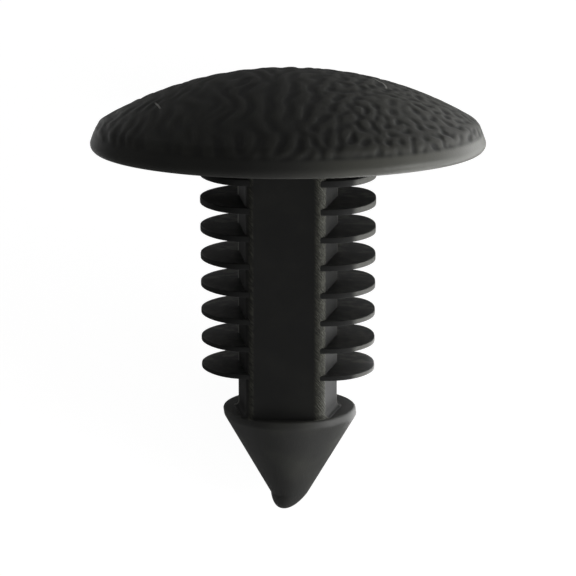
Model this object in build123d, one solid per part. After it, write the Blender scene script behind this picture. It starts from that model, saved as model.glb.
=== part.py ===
from build123d import *
from math import asin, atan2, cos, degrees, hypot, radians, sin, tan
import os

# A push-in trim retainer, moulded in one piece of black nylon. A domed head covers the
# hole in the panel, a stack of thin barbs on each side of a solid bar grips the hole's
# wall, and a cone leads the stem in. It is drawn upright first: the stem's axis is Z, the
# plane where the head bears on the panel is z = 0, and the mould parts along y = 0.
# Then it is laid down as it comes to rest, on the rim of its head and the rim of its cone.

# Head
head_diameter = 20.0
rim_edge_radius = 0.36  # rounding of the rim's lower edge
rim_height = 1.37  # bearing plane to the edge of the dome
dome_diameter = 19.25  # at the edge of the dome, so the rim leans in a little
dome_height = 2.65  # edge of the dome to its crown
dome_edge_radius = 0.42
head_wall = 2.4  # crown to the roof of the dished underside
dish_roof_diameter = 8.8  # flat roof around the bar's root
lip_width = 1.6  # flat ring that bears on the panel

# Bar
bar_width = 5.04  # across the sides, on the parting plane
bar_face_width = 3.9  # across the front and back faces, before the corners are rounded
bar_depth = 5.6  # front face to back face
bar_corner_radius = 0.45
bar_foot_radius = 0.4  # flare into the cone's shoulder

# Barbs
panel_hole = 8.0
barb_reach = 0.5  # how far the first barb stands out past the hole's wall
barb_ease = 0.04  # how much less the last one does
barb_depth = 6.6  # front to back, of the oval that the barbs are cut from
barb_root_thickness = 0.44  # on the parting plane, where it leaves the bar
barb_tip_thickness = 0.36  # on the parting plane, at the tip
barb_edge_thickness = 0.26  # at the front and back edges, after draft
barb_count = 8
barb_pitch = 1.43
first_barb = 1.2  # bearing plane to the middle of the first barb

# Cone
shoulder_drop = 13.45  # bearing plane to the cone's flat shoulder
shoulder_diameter = 6.86
shoulder_edge_radius = 0.12
shoulder_band = 0.4  # straight band between the shoulder and the cone
cone_angle = 60.0  # included angle
tip_radius = 0.75

head_radius = head_diameter / 2
dome_radius = dome_diameter / 2
shoulder_radius = shoulder_diameter / 2
dish_height = rim_height + dome_height - head_wall
overlap = 0.3  # how far one form runs into the next, so that they join
slack = 0.01  # tolerance when edges are picked by their place


def head():
    """Dome, leaning rim and flat lip, dished underneath, turned about the axis."""
    crown = rim_height + dome_height
    sphere = (dome_radius**2 + dome_height**2) / (2 * dome_height)
    half_way = dome_radius / 2
    dome_middle = (half_way, crown - sphere + (sphere**2 - half_way**2) ** 0.5)
    dish_radius = head_radius - rim_edge_radius - lip_width
    roof_radius = dish_roof_diameter / 2
    edge = rim_edge_radius
    with BuildPart() as made:
        with BuildSketch(Plane.XZ) as section:
            with BuildLine():
                Line((0, dish_height), (roof_radius, dish_height))
                TangentArc((roof_radius, dish_height), (dish_radius, 0), tangent=(1, 0))
                Line((dish_radius, 0), (head_radius - edge, 0))
                RadiusArc((head_radius - edge, 0), (head_radius, edge), -edge)
                Line((head_radius, edge), (dome_radius, rim_height))
                ThreePointArc((dome_radius, rim_height), dome_middle, (0, crown))
                Line((0, crown), (0, dish_height))
            make_face()
            fillet(section.vertices().sort_by_distance((dome_radius, rim_height))[0], dome_edge_radius)
        revolve(axis=Axis.Z)
    return made.part


def bar():
    """Six-sided bar, widest on the parting plane, with its four front and back corners rounded."""
    side = bar_width / 2
    face = bar_face_width / 2
    depth = bar_depth / 2
    corners = [(side, 0), (face, depth), (-face, depth), (-side, 0), (-face, -depth), (face, -depth)]
    top = dish_height + overlap
    with BuildPart() as made:
        with BuildSketch(Plane.XY.offset(-shoulder_drop - overlap)) as section:
            Polygon(*corners, align=None)
            rounded = [v for v in section.vertices() if abs(v.Y) > depth / 2]
            fillet(rounded, bar_corner_radius)
        extrude(amount=shoulder_drop + overlap + top)
    return made.part


def barb(reach):
    """One barb plate: an oval cut flat at the bar's faces, thinner to the tips, the front and the back."""
    side = bar_width / 2
    deep = barb_depth / 2
    root = barb_root_thickness / 2
    tip = barb_tip_thickness / 2
    edge = barb_edge_thickness / 2
    front_to_back = [(-deep, -edge), (0, -root), (deep, -edge), (deep, edge), (0, root), (-deep, edge)]
    tip_to_tip = [(-reach, -tip), (-side, -root), (side, -root), (reach, -tip)]
    tip_to_tip += [(reach, tip), (side, root), (-side, root), (-reach, tip)]
    with BuildPart() as made:
        with BuildSketch():
            Ellipse(reach, deep)
            Rectangle(2 * reach, bar_depth, mode=Mode.INTERSECT)
        extrude(amount=root, both=True)
        with BuildSketch(Plane.YZ):
            Polygon(*front_to_back, align=None)
        extrude(amount=reach, both=True, mode=Mode.INTERSECT)
        with BuildSketch(Plane.XZ):
            Polygon(*tip_to_tip, align=None)
        extrude(amount=deep, both=True, mode=Mode.INTERSECT)
    return made.part


def barbs():
    """The stack, the last barb a little narrower than the first."""
    first_reach = panel_hole / 2 + barb_reach
    made = []
    for number in range(barb_count):
        reach = first_reach - barb_ease * number / max(barb_count - 1, 1)
        made.append(Pos(0, 0, -first_barb - barb_pitch * number) * barb(reach))
    return made


def cone():
    """Shoulder, straight band, cone and ball-nosed tip, turned about the axis."""
    half_angle = radians(cone_angle / 2)
    edge = shoulder_edge_radius
    top = -shoulder_drop
    band_end = top - shoulder_band
    point = band_end - shoulder_radius / tan(half_angle)
    ball = point + tip_radius / sin(half_angle)
    leave = (tip_radius * cos(half_angle), ball - tip_radius * sin(half_angle))
    bottom = ball - tip_radius
    with BuildPart() as made:
        with BuildSketch(Plane.XZ):
            with BuildLine():
                Line((0, top), (shoulder_radius - edge, top))
                RadiusArc((shoulder_radius - edge, top), (shoulder_radius, top - edge), edge)
                Line((shoulder_radius, top - edge), (shoulder_radius, band_end))
                Line((shoulder_radius, band_end), leave)
                RadiusArc(leave, (0, bottom), tip_radius)
                Line((0, bottom), (0, top))
            make_face()
        revolve(axis=Axis.Z)
    return made.part


def bar_foot(made):
    """The edges where the bar meets the cone's shoulder."""
    foot = []
    for edge in made.edges():
        box = edge.bounding_box()
        level = max(abs(box.min.Z + shoulder_drop), abs(box.max.Z + shoulder_drop)) < slack
        if level and max(abs(box.min.X), abs(box.max.X)) < bar_width / 2 + slack:
            foot.append(edge)
    return foot


def upright():
    """The whole moulding, with the flare at the foot of the bar."""
    made = head() + bar() + cone()
    made = fillet(bar_foot(made), bar_foot_radius)
    return made + barbs()


def resting_tilt():
    """Angle of the axis above the surface, in degrees, with the rims of the head and the cone on it."""
    rise = head_radius - rim_edge_radius - shoulder_radius
    run = rim_edge_radius + shoulder_drop + shoulder_band
    return degrees(atan2(rise, run) + asin(rim_edge_radius / hypot(rise, run)))


def laid_down(part):
    """Lay the part on its back, head to +Y and tip to -Y, centred over the origin."""
    turned = Rot(X=resting_tilt() - 90) * part
    box = turned.bounding_box()
    return Pos(0, -(box.min.Y + box.max.Y) / 2, -box.min.Z) * turned


os.makedirs("parts", exist_ok=True)
retainer = laid_down(upright())
box = retainer.bounding_box()
print("tilt", round(resting_tilt(), 3), "size", box.size, "low", box.min, "solids", len(retainer.solids()))
export_step(retainer, "parts/trim_retainer.step")
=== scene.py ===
"""The looks of a push-in trim retainer, moulded in one piece of black nylon.

Every shape is worked out upright, in millimetres: the stem's axis is Z, the plane where the
head bears on the panel is z = 0, and the front is towards -Y. laid_down() then turns it to the
pose in which it rests on the rim of its head and the rim of its cone.
"""

from math import asin, atan2, cos, hypot, pi, radians, sin, sqrt, tan

import bpy
import numpy as np
from mathutils import Matrix


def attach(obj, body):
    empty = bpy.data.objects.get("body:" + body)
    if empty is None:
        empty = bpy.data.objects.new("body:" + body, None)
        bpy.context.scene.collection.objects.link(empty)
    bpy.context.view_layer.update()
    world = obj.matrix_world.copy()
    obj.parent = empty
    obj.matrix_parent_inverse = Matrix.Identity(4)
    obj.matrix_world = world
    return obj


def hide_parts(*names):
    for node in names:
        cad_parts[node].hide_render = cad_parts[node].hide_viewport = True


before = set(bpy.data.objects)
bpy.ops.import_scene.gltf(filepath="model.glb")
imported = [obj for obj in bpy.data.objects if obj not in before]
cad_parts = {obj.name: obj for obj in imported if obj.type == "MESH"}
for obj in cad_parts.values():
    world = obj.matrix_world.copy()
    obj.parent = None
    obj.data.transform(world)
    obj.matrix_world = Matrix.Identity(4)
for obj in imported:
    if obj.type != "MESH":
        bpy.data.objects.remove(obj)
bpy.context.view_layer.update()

MM = 0.001

# Head
HEAD_RADIUS = 10.0
RIM_EDGE_RADIUS = 0.36
RIM_HEIGHT = 1.37
RIM_LEAN = 0.371  # inwards for each millimetre up
DOME_RADIUS = 9.625
DOME_HEIGHT = 2.65
DOME_EDGE_RADIUS = 0.7
HEAD_WALL = 2.4
DISH_ROOF_RADIUS = 4.4
LIP_WIDTH = 1.6
DISH_HEIGHT = RIM_HEIGHT + DOME_HEIGHT - HEAD_WALL

# Bar
BAR_HALF_WIDTH = 2.52
BAR_HALF_FACE = 1.95
BAR_HALF_DEPTH = 2.8
BAR_CORNER_RADIUS = 0.45
BAR_FLARE = 0.25
BAR_OVERLAP = 0.3  # how far the bar's end runs into the head
BAR_SINK = 0.08  # and its foot into the cone's shoulder
FOOT_MARGIN = 0.04  # what the flare leaves of the shoulder
FLASH_LEFT, FLASH_RIGHT = 0.05, 0.01  # height of the bead on the parting line
FLASH_WIDTH = 0.07

# Barbs
FIRST_REACH = 4.5
REACH_EASE = 0.04
BARB_HALF_DEPTH = 3.5
BARB_OVAL = 2.0  # power of the oval in plan
FULLER_OVAL = 2.7  # in the back right quarter
CUT_BLEND = 14  # how sharply the oval turns into the flat cut
TIP_HALF_THICKNESS = 0.185
THICKNESS_EASE = 0.06  # how much thinner the last one is
ROOT_EXTRA = 0.05  # how much thicker than the tip, at the bar
DEPTH_TAPER = 0.35  # share lost at the front and back
FIRST_NOD = 3.6  # degrees to the front
NOD_EASE = 3.0
BARB_ROUNDING = 0.05
BARB_DRAFT = 0.005
BARB_ROLL = tan(radians(0.5))
BARB_COUNT = 8
BARB_PITCH = 1.44
FIRST_BARB = 1.205

# Cone
SHOULDER_DROP = 13.45
SHOULDER_RADIUS = 3.43
SHOULDER_BAND = 0.4
SHOULDER_EDGE_RADIUS = 0.12
CONE_HALF_ANGLE = radians(30)
NOSE_TOP = -18.12
NOSE_END = -19.035
NOSE_MOVE = 0.29  # how far its end lies to the left
NOSE_POWER, NOSE_ROOT = 1.1, 0.46
BAND_ABOVE, BAND_IN, BAND_BELOW = 0.05, 0.02, 0.03  # the eased edge of the band
COVERED = 0.4  # radius on the shoulder, under the bar, where its rings start
CONE_MOVES = (0.075, 0.12, 0.06)  # to the right, at the nose, the band and the shoulder

# How it lies
RISE = HEAD_RADIUS - RIM_EDGE_RADIUS - SHOULDER_RADIUS
RUN = RIM_EDGE_RADIUS + SHOULDER_DROP + SHOULDER_BAND
TILT = atan2(RISE, RUN) + asin(RIM_EDGE_RADIUS / hypot(RISE, RUN))
TIP_RADIUS = 0.75
POINT = -SHOULDER_DROP - SHOULDER_BAND - SHOULDER_RADIUS / tan(CONE_HALF_ANGLE)
BALL = POINT + TIP_RADIUS / sin(CONE_HALF_ANGLE)
SPHERE = (DOME_RADIUS**2 + DOME_HEIGHT**2) / (2 * DOME_HEIGHT)
CROWN = RIM_HEIGHT + DOME_HEIGHT
SHIFT_Y = -(BALL * cos(TILT) - TIP_RADIUS + (CROWN - SPHERE) * cos(TILT) + SPHERE) / 2
SHIFT_Z = (HEAD_RADIUS - RIM_EDGE_RADIUS) * cos(TILT) - RIM_EDGE_RADIUS * sin(TILT) + RIM_EDGE_RADIUS


def laid_down(points):
    """Upright millimetres to metres in the row frame: a turn about X by the tilt, then the shift."""
    x, y, z = np.moveaxis(np.asarray(points, float), -1, 0)
    turned_y = y * sin(TILT) + z * cos(TILT) + SHIFT_Y
    turned_z = -y * cos(TILT) + z * sin(TILT) + SHIFT_Z
    return np.stack([x, turned_y, turned_z], -1) * MM


# ---- Meshes ----


def mesh_piece(name, points, faces, values):
    """One piece from points (n, 3), a list of face index arrays (m, corners) and values per point.

    The signed volume is the sum of p0 . (p1 x p2) over each face's triangles; where it is
    negative the corners are listed backwards, so that every face points outwards.
    """
    points = laid_down(points)
    volume = 0.0
    for corners in faces:
        p = points[corners]
        for k in range(1, corners.shape[1] - 1):
            volume += np.einsum("ij,ij->i", p[:, 0], np.cross(p[:, k], p[:, k + 1])).sum()
    if volume < 0:
        faces = [corners[:, ::-1] for corners in faces]
    sizes = np.concatenate([np.full(len(c), c.shape[1]) for c in faces])
    loops = np.concatenate([c.ravel() for c in faces])
    mesh = bpy.data.meshes.new(name)
    mesh.vertices.add(len(points))
    mesh.vertices.foreach_set("co", points.ravel().astype(np.float32))
    mesh.loops.add(len(loops))
    mesh.loops.foreach_set("vertex_index", loops.astype(np.int32))
    mesh.polygons.add(len(sizes))
    mesh.polygons.foreach_set("loop_start", (np.cumsum(sizes) - sizes).astype(np.int32))
    mesh.polygons.foreach_set("loop_total", sizes.astype(np.int32))
    for key, value in values.items():
        layer = mesh.attributes.new(key, "FLOAT", "POINT")
        layer.data.foreach_set("value", np.broadcast_to(value, len(points)).astype(np.float32))
    mesh.update(calc_edges=True)
    mesh.shade_smooth()
    piece = bpy.data.objects.new(name, mesh)
    bpy.context.scene.collection.objects.link(piece)
    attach(piece, "root")
    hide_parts("trim_retainer")
    return piece


def ring_faces(first, second):
    """Quads between two rings of the same number of points, given by their index arrays."""
    return np.stack([first, second, np.roll(second, -1), np.roll(first, -1)], -1)


def closed_tube(rings, start=0):
    """Points and faces of a wrapped grid (rows, columns, 3) whose points start at the index
    start, with each end closed by a fan round the middle of its ring."""
    rows, columns = rings.shape[:2]
    index = start + np.arange(rows * columns).reshape(rows, columns)
    quads = np.concatenate([ring_faces(a, b) for a, b in zip(index[:-1], index[1:])])
    pole = np.full(columns, start + rows * columns)
    first = np.stack([pole, index[0], np.roll(index[0], -1)], -1)
    last = np.stack([pole + 1, np.roll(index[-1], -1), index[-1]], -1)
    points = np.concatenate([rings.reshape(-1, 3), [rings[0].mean(0), rings[-1].mean(0)]])
    return points, [quads, np.concatenate([first, last])]


def arc(centre, radius, start, end, steps):
    """Points (r, z) on a circle from one angle to another, in radians from the outward direction."""
    angle = np.linspace(start, end, steps)
    return np.stack([centre[0] + radius * np.cos(angle), centre[1] + radius * np.sin(angle)], -1)


def run(start, end, steps):
    """Points (r, z) along a straight line."""
    return np.linspace(start, end, steps)


def turned(profile, angle):
    """Rings (rows, columns, 3) of a profile of (r, z) points carried round the axis."""
    r, z = profile[:, 0][:, None], profile[:, 1][:, None]
    return np.stack(np.broadcast_arrays(r * np.cos(angle), r * np.sin(angle), z), -1)


def smooth(low, high, value):
    """0 below low, 1 above high, and 3t^2 - 2t^3 between."""
    t = np.clip((value - low) / (high - low), 0, 1)
    return t * t * (3 - 2 * t)


# ---- The grained head ----

GRAIN_DEPTH = 0.065
GRAIN_PITCH = 0.95
PITCH_SPREAD = 0.18  # share by which the pitches of the waves differ
ALONG = 0.3  # spread of the headings, in radians, that gives long ridges
ANY_WAY = 3.0  # and one that gives pebbles
SWAY = 0.14
SWAY_PITCH = 4.0
PEBBLES = (0.5, 7.0)  # x from which they start, and at which they are alone
GRAIN_END = (0.82, 1.05)  # heights between which the grain fades out above the rim
RIM_TOP = (0.75, 1.0)  # heights between which the paler rim fades out
OUTSIDE = 2.0  # length of the outer side, from the edge of the dome down
ROOF_COVERED = 1.2  # radius on the dish's roof, over the bar, where its rings end
RIGHT_NICK = (5.03, -1.57)
RIGHT_NICK_BOW, RIGHT_NICK_SPAN = 0.73, 2.22
LEFT_NICK = (-6.6, -2.82)
LEFT_NICK_SLANT = 0.29


def ripples(x, y, pitch, spread, count, seed):
    """Random waves of one pitch, cos(k . p + phase) added up. The spread, in radians, is how
    far their headings stray from the x axis: a small one gives long ridges along y."""
    draw = np.random.default_rng(seed)
    heading = draw.normal(0, spread, count)
    k = 2 * pi / (pitch * draw.normal(1.0, PITCH_SPREAD, count).clip(0.6, 1.6))
    phase = draw.uniform(0, 2 * pi, count)
    total = np.zeros_like(x)
    for a, b, c in zip(k * np.cos(heading), k * np.sin(heading), phase):
        total += np.cos(a * x + b * y + c)
    return total * sqrt(2 / count)


def leather(x, y):
    """Height of the moulded leather grain from 0 in the creases to 1 on the ridges, at the
    place (x, y) of the dome rolled out flat: long ridges in the middle, pebbles to the right."""
    sway = SWAY * ripples(x, y, SWAY_PITCH, ANY_WAY, 12, 5)
    long = ripples(x + sway, y, GRAIN_PITCH, ALONG, 60, 11)
    pits = ripples(1.2 * x, 0.85 * (y + sway), 0.85 * GRAIN_PITCH, ANY_WAY, 80, 23)
    pebbly = smooth(*PEBBLES, x)
    mixed = long * np.sqrt(1 - pebbly) + 1.3 * pits * np.sqrt(pebbly) + pebbly
    return 0.5 + 0.5 * np.tanh(0.8 * mixed)


def scratches(x, y):
    """Two nicks in the dome, at the place (x, y) of the dome rolled out flat: the signed distance
    across the nearer one, and 1 along its length. The right one bows by s|s| along y, and the
    left one is straight."""
    right = smooth(-0.5, 0.5, x)
    share = (y - RIGHT_NICK[1]) / RIGHT_NICK_SPAN
    bowed = x - RIGHT_NICK[0] + RIGHT_NICK_BOW * share * np.abs(share)
    straight = x - LEFT_NICK[0] + LEFT_NICK_SLANT * (y - LEFT_NICK[1])
    across = np.where(x > 0, bowed, straight)
    long = smooth(-1.75, -1.5, y) * (1 - smooth(0.55, 0.8, y)) * right
    short = smooth(-4.4, -3.9, y) * (1 - smooth(-3.1, -2.7, y)) * (1 - right)
    return across, long + short


def head_profile():
    """Rings from the edge of the dome's sphere down the rim, over the lip and into the dish:
    each arc is tangent to the straight line or arc before it."""
    lean = atan2(RIM_LEAN, 1.0)
    low = (HEAD_RADIUS - RIM_EDGE_RADIUS, RIM_EDGE_RADIUS)
    wall = np.array([low[0] + RIM_EDGE_RADIUS * cos(lean), low[1] + RIM_EDGE_RADIUS * sin(lean)])
    along = np.array([-sin(lean), cos(lean)])
    inward = np.array([-cos(lean), -sin(lean)])
    sphere = np.array([0.0, CROWN - SPHERE])
    start = wall + DOME_EDGE_RADIUS * inward - sphere
    half = start @ along
    length = -half + sqrt(half**2 - start @ start + (SPHERE - DOME_EDGE_RADIUS) ** 2)
    edge = sphere + start + length * along
    leave = atan2(edge[1] - sphere[1], edge[0])
    dish_radius = HEAD_RADIUS - RIM_EDGE_RADIUS - LIP_WIDTH
    span = dish_radius - DISH_ROOF_RADIUS
    dish = (span**2 + DISH_HEIGHT**2) / (2 * DISH_HEIGHT)
    dish_end = asin((dish - DISH_HEIGHT) / dish)
    rim = [
        arc(edge, DOME_EDGE_RADIUS, leave, lean, 7),
        run(edge - DOME_EDGE_RADIUS * inward, wall, 9)[1:],
        arc(low, RIM_EDGE_RADIUS, lean, -pi / 2, 9)[1:],
        run((low[0], 0.0), (dish_radius, 0.0), 3)[1:],
        arc((DISH_ROOF_RADIUS, DISH_HEIGHT - dish), dish, dish_end, pi / 2, 10)[1:],
        run((DISH_ROOF_RADIUS, DISH_HEIGHT), (ROOF_COVERED, DISH_HEIGHT), 3)[1:],
    ]
    return np.concatenate(rim), SPHERE * (pi / 2 - leave)


def head():
    """The dome is a square grid laid on a disc: the larger of |u| and |v| is the distance from
    the crown along the sphere, and the smaller over the larger, times an eighth of a turn, is
    the angle. The rings of the rim and the underside follow from its edge. The grain sinks
    each point along the surface's normal, and fades out on the rim. Its ridges and the rim get
    a paler colour, most of all to the right: a painted highlight for the light from the right."""
    half = 104  # squares from the crown to the edge of the dome
    profile, reach = head_profile()
    u, v = np.meshgrid(np.arange(-half, half + 1.0), np.arange(-half, half + 1.0), indexing="ij")
    wide = np.abs(u) >= np.abs(v)
    major = np.where(wide, u, v)
    minor = np.where(wide, v, u)
    eighth = pi / 4 * minor / np.where(major == 0, 1, major)
    angle = np.where(wide, eighth, pi / 2 - eighth)
    along = major / half * reach
    flat_x, flat_y = along * np.cos(angle), along * np.sin(angle)
    bend = np.abs(along) / SPHERE
    r = np.sign(along) * SPHERE * np.sin(bend)
    top = np.stack([r * np.cos(angle), r * np.sin(angle), CROWN - SPHERE * (1 - np.cos(bend))], -1)
    top_normal = np.stack([np.sign(along) * np.sin(bend) * np.cos(angle),
                           np.sign(along) * np.sin(bend) * np.sin(angle), np.cos(bend)], -1)
    side = 2 * half + 1
    index = np.arange(side * side).reshape(side, side)
    squares = [index[:-1, :-1], index[1:, :-1], index[1:, 1:], index[:-1, 1:]]
    squares = np.stack(squares, -1).reshape(-1, 4)
    border = np.concatenate([index[-1, :-1], index[::-1, -1][:-1], index[0, ::-1][:-1], index[:-1, 0]])
    columns = len(border)
    turn = np.arctan2(top[..., 1].ravel()[border], top[..., 0].ravel()[border])
    rings = turned(profile[1:], turn)
    step = np.gradient(profile, axis=0)
    out = np.stack([step[:, 1], -step[:, 0]], -1)
    out = -out / np.linalg.norm(out, axis=1, keepdims=True)
    ring_normal = turned(out[1:], turn)
    distance = reach + np.cumsum(np.hypot(*np.diff(profile, axis=0).T))
    rolled_x = np.concatenate([flat_x.ravel(), (distance[:, None] * np.cos(turn)).ravel()])
    rolled_y = np.concatenate([flat_y.ravel(), (distance[:, None] * np.sin(turn)).ravel()])
    points = np.concatenate([top.reshape(-1, 3), rings.reshape(-1, 3)])
    normals = np.concatenate([top_normal.reshape(-1, 3), ring_normal.reshape(-1, 3)])
    grain = leather(rolled_x, rolled_y)
    nick_across, nick_along = scratches(rolled_x, rolled_y)
    above = np.concatenate([np.full(side * side, CROWN), np.repeat(profile[1:, 1], columns)])
    ring_outside = (distance < reach + OUTSIDE) * 1.0
    outside = np.concatenate([np.ones(side * side), np.repeat(ring_outside, columns)])
    strength = smooth(*GRAIN_END, above) * outside
    points = points - normals * (GRAIN_DEPTH * strength * (1 - grain))[:, None]
    ring_index = side * side + np.arange(rings.shape[0] * columns).reshape(-1, columns)
    quads = [squares, ring_faces(border, ring_index[0])]
    quads += [ring_faces(a, b) for a, b in zip(ring_index[:-1], ring_index[1:])]
    pole = len(points)
    points = np.concatenate([points, [[0.0, 0.0, DISH_HEIGHT]]])
    last = ring_index[-1]
    fan = np.stack([np.full(columns, pole), np.roll(last, -1), last], -1)
    # Painted highlight: the ridges of the grain get a paler colour, more so to the right, where the
    # light falls.
    ridge_painted_highlight = grain * strength * (0.5 + 0.5 * smooth(-3.0, 5.0, rolled_x))
    # Painted highlight: the rim gets a paler colour, faint on the left and strong to the right, where
    # the light falls.
    rim_painted_highlight = (1 - smooth(*RIM_TOP, above)) * outside * (0.15 + 0.85 * smooth(0.0, 5.0, rolled_x))
    values = {"grain": np.append(ridge_painted_highlight, 0.0), "rim": np.append(rim_painted_highlight, 0.0),
              "nick_across": np.append(nick_across, 1.0), "nick_along": np.append(nick_along, 0.0)}
    return mesh_piece("domed_head", points, [np.concatenate(quads), fan], values)


# ---- Bar ----


def bar_section(columns):
    """Outline of the six-sided bar with rounded front and back corners, as (x, y) and outward
    normals, evenly spaced: straight runs and corner arcs joined, then read off by length."""
    side = np.array([BAR_HALF_WIDTH, 0.0])
    corner = np.array([BAR_HALF_FACE, BAR_HALF_DEPTH])
    to_side = (side - corner) / np.linalg.norm(side - corner)
    bend = pi / 2 - atan2(-to_side[1], to_side[0])
    cut = BAR_CORNER_RADIUS * tan((pi / 2 - bend) / 2)
    centre = corner + np.array([-cut, -BAR_CORNER_RADIUS])
    slant = atan2(to_side[0], -to_side[1])
    corner_arc = arc(centre, BAR_CORNER_RADIUS, slant, pi / 2, 9)
    quarter = np.concatenate([side[None], corner_arc, [[0.0, BAR_HALF_DEPTH]]])
    mirror = quarter[::-1][1:] * [-1, 1]
    upper = np.concatenate([quarter, mirror])
    lower = upper[::-1][1:-1] * [1, -1]
    loop = np.concatenate([upper, lower, upper[:1]])
    length = np.append(0, np.cumsum(np.hypot(*np.diff(loop, axis=0).T)))
    at = np.linspace(0, length[-1], columns, endpoint=False)
    path = np.stack([np.interp(at, length, loop[:, k]) for k in (0, 1)], -1)
    along = np.roll(path, -1, 0) - np.roll(path, 1, 0)
    normal = np.stack([along[:, 1], -along[:, 0]], -1)
    return path, normal / np.linalg.norm(normal, axis=1, keepdims=True)


def bar():
    """The section carried down the axis. Over the last stretch it moves out along its normals
    by R - sqrt(R^2 - (R - h)^2), h being the height above the shoulder: a hollow flare. It is
    kept inside the shoulder's edge. A fine bead of flash runs down the parting line, and it
    stands out more on the left; its mask paints it pale, a painted highlight, strong on the left.
    The mask round the four corners is scuffing and a painted highlight on the rounded corners,
    narrow and faint on the left."""
    columns = 240
    path, normal = bar_section(columns)
    left = path[:, 0] < 0
    foot = -SHOULDER_DROP
    height = np.concatenate([[-BAR_SINK], BAR_FLARE * np.linspace(0, 1, 8) ** 1.5])
    end = SHOULDER_DROP + DISH_HEIGHT + BAR_OVERLAP
    height = np.append(height, np.linspace(BAR_FLARE, end, 120)[1:])
    short = np.clip(BAR_FLARE - height, 0, BAR_FLARE)
    flare = BAR_FLARE - np.sqrt(BAR_FLARE**2 - short**2)
    bead = np.where(left, FLASH_LEFT, FLASH_RIGHT) * np.exp(-((path[:, 1] / FLASH_WIDTH) ** 2))
    out = flare[:, None] + bead[None]
    xy = path[None] + normal[None] * out[..., None]
    radius = np.linalg.norm(xy, axis=-1)
    limit = SHOULDER_RADIUS - FOOT_MARGIN
    held = np.where(radius > limit, limit / radius, 1.0)
    xy = xy * np.where(height[:, None] < BAR_FLARE, held, 1.0)[..., None]
    z = np.broadcast_to((foot + height)[:, None, None], xy.shape[:2] + (1,))
    points, faces = closed_tube(np.concatenate([xy, z], -1))
    step = np.roll(path, -1, 0) - path
    around = np.append(0, np.cumsum(np.hypot(*step.T)))[:-1]
    # Scuffing and painted highlight: the rounded corners are painted paler, strongly on the right and
    # faintly on the left, where less light falls.
    corner = np.hypot(np.abs(path[:, 0]) - BAR_HALF_FACE + np.where(left, 0.21, 0.15),
                      np.abs(path[:, 1]) - BAR_HALF_DEPTH + np.where(left, 0.03, 0.12))
    wear_and_painted_highlight = np.where(left, 0.45 * (1 - smooth(0.05, 0.2, corner)), 1 - smooth(0.16, 0.4, corner))
    # Painted highlight on the flash bead: a pale line down the parting line, strong on the left.
    flash_painted_highlight = np.where(left, 1.0, 0.15) * np.exp(-((path[:, 1] / 0.08) ** 2))
    rows = len(height)
    flat_z = np.repeat(foot + height, columns)

    def spread(value):
        return np.append(np.tile(value, rows), [0.0, 0.0])

    flat_s = np.tile(around, rows)
    values = {"wear_and_painted_highlight": spread(wear_and_painted_highlight), "flash_painted_highlight": spread(flash_painted_highlight),
              "across": np.append(flat_s + flat_z, [0.0, 0.0]),
              "along": np.append(flat_s - flat_z, [0.0, 0.0])}
    return mesh_piece("bar", points, faces, values)


# ---- Barbs ----


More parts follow.
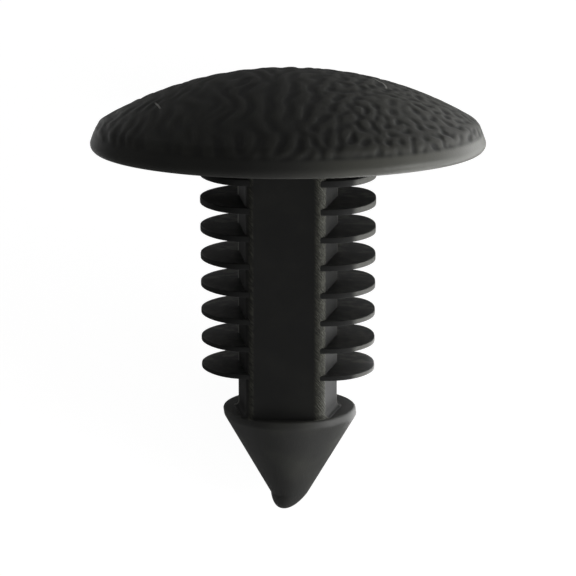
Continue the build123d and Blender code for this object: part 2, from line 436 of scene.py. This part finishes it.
def barbs():
    """Each barb is a plate about the axis, from its top middle round its edge to its bottom
    middle. In plan it is an oval, (x/a)^n + (y/b)^n = 1, with a larger n in the fuller back
    right quarter, cut flat at the bar's faces: 1/r is a high-power mean of the oval's 1/r and
    the cut's |sin|/depth. Its half thickness falls from the bar to the tips and from the parting
    plane to the front and back. The edge is a wall with a small rounding above and below. Each
    plate nods a little to the front, and rolls a little to the right. The wall is glossier and
    painted paler at the right tips, a painted highlight, and matt elsewhere. The back halves are
    paler, and more so on the left, where the extra is painted light on the less lit side."""
    columns = 144
    turn = np.linspace(0, 2 * pi, columns, endpoint=False)
    cosine, sine = np.cos(turn), np.sin(turn)
    power = np.where((cosine > 0) & (sine > 0), FULLER_OVAL, BARB_OVAL)
    points, faces, tip_highlights, matts, backs, start = [], [], [], [], [], 0
    inner = np.array([0.25, 0.5, 0.68, 0.8, 0.88, 0.94])
    round_over = np.linspace(0, pi / 2, 5)
    for number in range(BARB_COUNT):
        share = number / (BARB_COUNT - 1)
        reach = FIRST_REACH - REACH_EASE * share
        thick = TIP_HALF_THICKNESS - THICKNESS_EASE * share
        nod = tan(radians(FIRST_NOD - NOD_EASE * share))
        oval = np.abs(cosine / reach) ** power + np.abs(sine / BARB_HALF_DEPTH) ** power
        oval = oval ** (1 / power)
        cut = np.abs(sine) / BAR_HALF_DEPTH
        outline = (oval**CUT_BLEND + cut**CUT_BLEND) ** (-1 / CUT_BLEND)

        def half_thickness(x, y):
            tip = np.interp(np.abs(x), (BAR_HALF_WIDTH, reach), (thick + ROOT_EXTRA, thick))
            return tip * (1 - DEPTH_TAPER * np.abs(y) / BARB_HALF_DEPTH)

        core = outline - BARB_ROUNDING - BARB_DRAFT
        edge = half_thickness(outline * cosine, outline * sine) - BARB_ROUNDING
        upper = []
        for part in inner:
            x, y = core * part * cosine, core * part * sine
            upper.append(np.stack([x, y, half_thickness(x, y)], -1))
        for lean in round_over:
            r = core + BARB_ROUNDING * sin(lean)
            upper.append(np.stack([r * cosine, r * sine, edge + BARB_ROUNDING * cos(lean)], -1))
        upper = np.stack(upper)
        middle = np.stack([outline * cosine, outline * sine, 0 * turn], -1)
        plate = np.concatenate([upper, middle[None], upper[::-1] * [1, 1, -1]])
        x, y = plate[..., 0], plate[..., 1]
        plate[..., 2] += nod * y - BARB_ROLL * x - FIRST_BARB - BARB_PITCH * number
        made, shells = closed_tube(plate, start)
        wall = (np.abs(np.arange(len(plate)) - len(upper)) < 3) * 1.0
        # Painted highlight: the walls of the right tips are painted paler.
        tip_highlight = smooth(3.3, 3.6, outline * cosine)
        # The back halves are paler; the extra on the left is painted light on the less lit side.
        back = smooth(-0.05, 0.1, y) * (1 + 1.3 * (x < 0))
        tip_highlights.append(np.append(np.outer(wall, tip_highlight).ravel(), [0.0, 0.0]))
        matts.append(np.append(np.outer(wall, 1 - tip_highlight).ravel(), [0.0, 0.0]))
        backs.append(np.append(back.ravel(), [0.0, 0.0]))
        points.append(made)
        faces.append(shells)
        start += len(made)
    quads = np.concatenate([f[0] for f in faces])
    fans = np.concatenate([f[1] for f in faces])
    values = {"wall": np.concatenate(tip_highlights), "matt": np.concatenate(matts),
              "back": np.concatenate(backs)}
    return mesh_piece("barbs", np.concatenate(points), [quads, fans], values)


# ---- Cone ----


def cone():
    """Shoulder, rounded edge, band, cone and nose, turned about an axis that wanders. Below
    the cone the nose's radius is (1 - s^power)^root of what it was, s being 0 at its top and 1
    at its end, and its middle moves to the left with s."""
    columns = 200
    turn = np.linspace(0, 2 * pi, columns, endpoint=False)
    top = -SHOULDER_DROP
    edge = SHOULDER_EDGE_RADIUS
    nose_radius = (NOSE_TOP - POINT) * tan(CONE_HALF_ANGLE)
    s = np.sin(np.linspace(0, pi / 2, 26))
    nose_r = nose_radius * (1 - s**NOSE_POWER) ** NOSE_ROOT
    nose = np.stack([nose_r, NOSE_TOP + (NOSE_END - NOSE_TOP) * s], -1)
    band_end = top - SHOULDER_BAND
    profile = np.concatenate([
        run((COVERED, top), (SHOULDER_RADIUS - edge, top), 5),
        arc((SHOULDER_RADIUS - edge, top - edge), edge, pi / 2, 0, 6)[1:],
        run((SHOULDER_RADIUS, top - edge), (SHOULDER_RADIUS, band_end + BAND_ABOVE), 3)[1:],
        run((SHOULDER_RADIUS - BAND_IN, band_end - BAND_BELOW), (nose_radius, NOSE_TOP), 60),
        nose[1:-1],
    ])
    rings = turned(profile, turn)
    z = profile[:, 1]
    below = np.clip((NOSE_TOP - z) / (NOSE_TOP - NOSE_END), 0, 1)
    right = np.interp(z, (NOSE_TOP, band_end, top), CONE_MOVES)
    rings[..., 0] += (right - NOSE_MOVE * below)[:, None]
    points, faces = closed_tube(rings)
    return mesh_piece("cone_point", points, faces, {})


# ---- Materials ----


class Value:
    """A number that changes over a surface: a socket whose operators add Math nodes."""

    def __init__(self, finish, socket):
        self.finish, self.socket = finish, socket

    def maths(self, operation, first, second):
        """The result of one Math node on two numbers or values."""
        node = self.finish.node("ShaderNodeMath", {"operation": operation}, {0: first, 1: second})
        return Value(self.finish, node.outputs[0])

    def __add__(self, other):
        return self.maths("ADD", self, other)

    def __sub__(self, other):
        return self.maths("SUBTRACT", self, other)

    def __rsub__(self, other):
        return self.maths("SUBTRACT", other, self)

    def __mul__(self, other):
        return self.maths("MULTIPLY", self, other)

    __radd__ = __add__
    __rmul__ = __mul__


class Finish:
    """A material and the nodes in it."""

    def __init__(self, name):
        self.material = bpy.data.materials.new(name)
        self.material.use_nodes = True
        self.tree = self.material.node_tree
        self.tree.nodes.clear()

    def node(self, kind, settings=None, sockets=None):
        """A node of this kind: its settings come first, then its sockets' values or links."""
        made = self.tree.nodes.new(kind)
        for key, value in (settings or {}).items():
            setattr(made, key, value)
        for key, value in (sockets or {}).items():
            if isinstance(value, Value):
                value = value.socket
            if isinstance(value, bpy.types.NodeSocket):
                self.tree.links.new(value, made.inputs[key])
            else:
                made.inputs[key].default_value = value
        return made

    def value(self, kind, settings=None, sockets=None, output=0):
        """A node's output, to calculate with."""
        return Value(self, self.node(kind, settings, sockets).outputs[output])

    def attribute(self, name):
        """A number kept with each point of the mesh."""
        return self.value("ShaderNodeAttribute", {"attribute_name": name}, output="Fac")

    def noise(self, size, detail):
        """Noise of about this size in metres, on Object coordinates."""
        place = self.node("ShaderNodeTexCoord").outputs["Object"]
        scale = (1 / size, 1 / size, 1 / size)
        place = self.node("ShaderNodeMapping", None, {"Vector": place, "Scale": scale}).outputs[0]
        sockets = {"Vector": place, "Scale": 1.0, "Detail": detail}
        return self.value("ShaderNodeTexNoise", None, sockets, "Fac")

    def ramp(self, value, low, high):
        """0 below low, 1 above high, and smooth between."""
        sockets = {"Value": value, "From Min": low, "From Max": high}
        return self.value("ShaderNodeMapRange", {"interpolation_type": "SMOOTHSTEP"}, sockets)

    def bump(self, height, depth, normal=None):
        """A normal bent by a height from 0 to 1 that stands for this depth in metres."""
        sockets = {"Height": height, "Distance": depth, "Strength": 1.0}
        if normal:
            sockets["Normal"] = normal
        return self.node("ShaderNodeBump", None, sockets).outputs[0]

    def mix_colour(self, share, first, second):
        """A colour between two, by a share that is held between 0 and 1."""
        settings = {"data_type": "RGBA", "clamp_factor": True}
        first = first + (1.0,) if isinstance(first, tuple) else first
        return self.node("ShaderNodeMix", settings, {0: share, 6: first, 7: second + (1.0,)}).outputs[2]

    def surface(self, sockets):
        """The finished material."""
        shader = self.node("ShaderNodeBsdfPrincipled", None, sockets)
        self.node("ShaderNodeOutputMaterial", None, {"Surface": shader.outputs[0]})
        return self.material


BLACK = (0.0185, 0.0188, 0.0182)  # the moulded surface as it is in most places
SHADED_BAR_BLACK = (0.0178, 0.018, 0.0175)  # the bar's faces: a touch darker than BLACK, as painted shade for the faces in the barbs' shade
# A paler grey: random mottle and scuffs, and also the painted highlights on the head's rim and ridges,
# on the bar's corners and flash, and on the left barbs' back halves.
PALE_WEAR_AND_HIGHLIGHT = (0.063, 0.0635, 0.053)
# Painted highlight on the walls of the right barbs' tips.
TIP_WALL_HIGHLIGHT = (0.07, 0.07, 0.063)
# Bare nylon in the dome's nicks, and also the painted highlight on the bar's flash.
BARE_AND_HIGHLIGHT_GREY = (0.3, 0.3, 0.28)


def grained_nylon():
    """Black nylon with a leather grain: duller in the creases, a little polished on the ridges.
    The smooth rim is glossier, and it and the ridges are painted paler as a painted highlight,
    strongest on the right; two fine nicks show bare."""
    finish = Finish("grained_black_nylon")
    grain = finish.attribute("grain")
    rim = finish.attribute("rim")
    fine = finish.noise(0.00012, 3.0)
    patch = finish.noise(0.003, 2.0)
    across = finish.attribute("nick_across")
    nick = (1 - finish.ramp(across * across, 0.0004, 0.004)) * finish.attribute("nick_along")
    # Painted highlight: the grain and rim masks make the ridges and the rim paler, most of all on the
    # right. The patch adds random paler tone.
    wear_and_painted_highlight = finish.ramp(patch, 0.3, 0.8) * 0.15 + grain * 0.45 + rim * 0.8
    return finish.surface({
        "Base Color": finish.mix_colour(nick, finish.mix_colour(wear_and_painted_highlight, BLACK, PALE_WEAR_AND_HIGHLIGHT), BARE_AND_HIGHLIGHT_GREY),
        "Roughness": 0.74 - grain * 0.12 + fine * 0.06 - rim * 0.3,
        "Specular IOR Level": 0.25,
        "Normal": finish.bump(fine, 0.000006),
    })


def bar_nylon():
    """Black nylon with scuffed corners: fine slanting scratches, paler than the faces, partly as a
    painted highlight, and a pale thread of flash down the parting line, a painted highlight."""
    finish = Finish("bar_black_nylon")
    wear_and_painted_highlight = finish.attribute("wear_and_painted_highlight")
    flash_painted_highlight = finish.attribute("flash_painted_highlight")
    place = finish.node("ShaderNodeCombineXYZ", None, {
        "X": finish.attribute("across") * 11.0, "Y": finish.attribute("along") * 1.6}).outputs[0]
    sockets = {"Vector": place, "Scale": 1.0, "Detail": 2.0}
    hatch = finish.value("ShaderNodeTexNoise", None, sockets, "Fac")
    fine = finish.noise(0.0001, 3.0)
    patch = finish.noise(0.002, 2.0)
    # Painted highlight: the corner mask and the flash mask both make the colour paler here, on top of
    # the real slanting scratches.
    scratch = finish.ramp(hatch, 0.4, 0.62) * wear_and_painted_highlight
    pale = scratch * 1.8 + wear_and_painted_highlight * 0.5 + flash_painted_highlight * 1.5 + finish.ramp(patch, 0.4, 0.8) * 0.12
    colour = finish.mix_colour(pale, SHADED_BAR_BLACK, PALE_WEAR_AND_HIGHLIGHT)
    return finish.surface({
        "Base Color": finish.mix_colour(flash_painted_highlight * 0.75, colour, BARE_AND_HIGHLIGHT_GREY),
        "Roughness": 0.66 - patch * 0.06 - flash_painted_highlight * 0.1,
        "Specular IOR Level": 0.12,
        "Normal": finish.bump(scratch, 0.00003, finish.bump(fine, 0.000005)),
    })


def barb_nylon():
    """Black nylon, mottled on the faces of the barbs, more so on their back halves and most on
    the left, where the extra is painted light, and painted pale on the edges of the right tips, a
    painted highlight."""
    finish = Finish("barb_black_nylon")
    wall = finish.attribute("wall")
    matt = finish.attribute("matt")
    back = finish.attribute("back")
    fine = finish.noise(0.00015, 3.0)
    patch = finish.noise(0.0006, 3.0)
    mottle = finish.ramp(patch, 0.42, 0.7) * (back * 0.6 + 0.4) * (1 - matt)
    return finish.surface({
        # The wall mask paints the highlight on the right tips' edges. The back mask's extra on the left
        # is painted light.
        "Base Color": finish.mix_colour(wall, finish.mix_colour(mottle, BLACK, PALE_WEAR_AND_HIGHLIGHT), TIP_WALL_HIGHLIGHT),
        "Roughness": 0.62 + wall * 0.08 + matt * 0.38 - patch * 0.06,
        "Specular IOR Level": 0.25,
        "Normal": finish.bump(fine + finish.ramp(patch, 0.3, 0.7) * wall, 0.00001),
    })


def cone_nylon():
    """Plain satin black nylon with a fine texture."""
    finish = Finish("cone_black_nylon")
    fine = finish.noise(0.0001, 3.0)
    patch = finish.noise(0.002, 2.0)
    return finish.surface({
        "Base Color": finish.mix_colour(finish.ramp(patch, 0.35, 0.8) * 0.4 + 0.1, BLACK, PALE_WEAR_AND_HIGHLIGHT),
        "Roughness": 0.58 - patch * 0.06,
        "Specular IOR Level": 0.3,
        "Normal": finish.bump(fine, 0.000005),
    })


# ---- Floor, light and camera ----

EVEN_SHARE = 0.72  # of the floor that is drawn as even white
EVEN_WHITE = 1.32
GLOSS_SHARE = 0.07  # of the white that gloss sees
ROOM = 0.165
PALE = (0.8, 0.8, 0.8, 1)
WHITE = (1, 1, 1, 1)
MIDDLE = (0, 0, 0.008)  # of the part, half way up
UP = (0, 0.02, 1)  # leant a little, so that a lamp overhead has one too


def floor():
    """A plain pale floor. Most of it is drawn as even white for the camera and for glass, and a
    little for gloss, because the floor round the photographed part is dark on its left. The rest
    is lit, so it keeps the object's shadow."""
    half = 1.5
    points = np.array([[-half, -half, 0], [half, -half, 0], [half, half, 0], [-half, half, 0]])
    mesh = bpy.data.meshes.new("floor")
    mesh.from_pydata(points.tolist(), [], [(0, 1, 2, 3)])
    piece = bpy.data.objects.new("floor", mesh)
    bpy.context.scene.collection.objects.link(piece)
    finish = Finish("pale_floor")
    lit = finish.node("ShaderNodeBsdfDiffuse", None, {"Color": PALE})
    path = finish.node("ShaderNodeLightPath")
    seen = Value(finish, path.outputs["Is Camera Ray"])
    gloss = Value(finish, path.outputs["Is Glossy Ray"])
    through = Value(finish, path.outputs["Is Transmission Ray"])
    level = (seen + through) * EVEN_WHITE + gloss
    even = finish.node("ShaderNodeEmission", None, {"Color": WHITE, "Strength": level})
    share = (seen + through) * EVEN_SHARE + gloss * GLOSS_SHARE
    mix = finish.node("ShaderNodeMixShader", None, {0: share, 1: lit.outputs[0], 2: even.outputs[0]})
    finish.node("ShaderNodeOutputMaterial", None, {"Surface": mix.outputs[0]})
    mesh.materials.append(finish.material)


def surroundings():
    """A dim grey room, white where the camera or glass would see past the floor, and a little
    paler for gloss, as the floor is."""
    world = bpy.data.worlds.new("room")
    bpy.context.scene.world = world
    world.use_nodes = True
    tree = world.node_tree
    tree.nodes.clear()
    path = tree.nodes.new("ShaderNodeLightPath")
    dim = tree.nodes.new("ShaderNodeBackground")
    dim.inputs["Color"].default_value = WHITE
    dim.inputs["Strength"].default_value = ROOM
    white = tree.nodes.new("ShaderNodeBackground")
    white.inputs["Color"].default_value = WHITE
    white.inputs["Strength"].default_value = 1.0
    mix = tree.nodes.new("ShaderNodeMixShader")
    out = tree.nodes.new("ShaderNodeOutputWorld")
    seen = tree.nodes.new("ShaderNodeMath")
    seen.operation = "MULTIPLY_ADD"
    seen.inputs[1].default_value = GLOSS_SHARE
    tree.links.new(path.outputs["Is Glossy Ray"], seen.inputs[0])
    tree.links.new(path.outputs["Is Camera Ray"], seen.inputs[2])
    share = tree.nodes.new("ShaderNodeMath")
    share.operation = "ADD"
    tree.links.new(seen.outputs[0], share.inputs[0])
    tree.links.new(path.outputs["Is Transmission Ray"], share.inputs[1])
    tree.links.new(share.outputs[0], mix.inputs[0])
    tree.links.new(dim.outputs[0], mix.inputs[1])
    tree.links.new(white.outputs[0], mix.inputs[2])
    tree.links.new(mix.outputs[0], out.inputs[0])


def upright_direction(vector):
    """A direction in the upright frame, turned to the row frame."""
    return laid_down(vector) - laid_down((0.0, 0.0, 0.0))


def looking(position, target, up):
    """The matrix of a camera or lamp at a position, aimed at a target, with up kept upwards."""
    back = np.asarray(position) - np.asarray(target)
    back = back / np.linalg.norm(back)
    across = np.cross(up, back)
    across = across / np.linalg.norm(across)
    matrix = np.eye(4)
    matrix[:3] = np.stack([across, np.cross(back, across), back, position], -1)
    return matrix


def panel(name, middle, size, radiance):
    """A soft light lying on the floor, facing up. Its power is radiance x pi x area."""
    data = bpy.data.lights.new(name, "AREA")
    data.shape, data.size, data.size_y = "RECTANGLE", size[0], size[1]
    data.energy = radiance * pi * size[0] * size[1]
    made = bpy.data.objects.new(name, data)
    made.matrix_world = Matrix(looking(middle, np.add(middle, (0, 0, 1)), (0, 1, 0)).tolist())
    bpy.context.scene.collection.objects.link(made)


def camera():
    """The photograph's view: in front of the stem and a little above the head's plane."""
    distance, above, round_stem, aim = 116.94, radians(12.06), radians(3.0), -7.248
    level = distance * cos(above)
    place = (level * sin(round_stem), -level * cos(round_stem), aim + distance * sin(above))
    target = laid_down((0, 0, aim))
    data = bpy.data.cameras.new("camera")
    data.lens, data.sensor_width, data.sensor_fit = 142.3, 36.0, "HORIZONTAL"
    data.clip_start = 0.01
    made = bpy.data.objects.new("camera", data)
    matrix = looking(laid_down(place), target, upright_direction((0, 0, 1)))
    made.matrix_world = Matrix(matrix.tolist())
    bpy.context.scene.collection.objects.link(made)
    bpy.context.scene.camera = made


def lamp(name, azimuth, elevation, distance, size, level):
    """A square soft lamp. azimuth is from +X towards +Y; level 1 lights a surface square to it
    so that white renders white: its power is level x pi^2 x distance^2."""
    a, e = radians(azimuth), radians(elevation)
    place = np.array([cos(a) * cos(e), sin(a) * cos(e), sin(e)]) * distance
    data = bpy.data.lights.new(name, "AREA")
    data.shape, data.size = "SQUARE", size
    data.energy = level * pi**2 * distance**2
    made = bpy.data.objects.new(name, data)
    made.matrix_world = Matrix(looking(place, MIDDLE, UP).tolist())
    bpy.context.scene.collection.objects.link(made)


for piece, material in ((head(), grained_nylon()), (bar(), bar_nylon()), (barbs(), barb_nylon()),
                        (cone(), cone_nylon())):
    piece.data.materials.append(material)

floor()
surroundings()
lamp("key_right", -10, 6, 0.22, 0.14, 1.4)
lamp("low_front", -60, 10, 0.22, 0.14, 0.22)
panel("table_right", (0.046, 0.0, 0.0008), (0.06, 0.07), 3.6)
panel("table_near", (0.0095, -0.0045, 0.0006), (0.01, 0.007), 4.0)
panel("table_left", (-0.0165, 0.010, 0.0006), (0.008, 0.012), 2.6)
camera()

bpy.context.scene.view_settings.view_transform = "Standard"
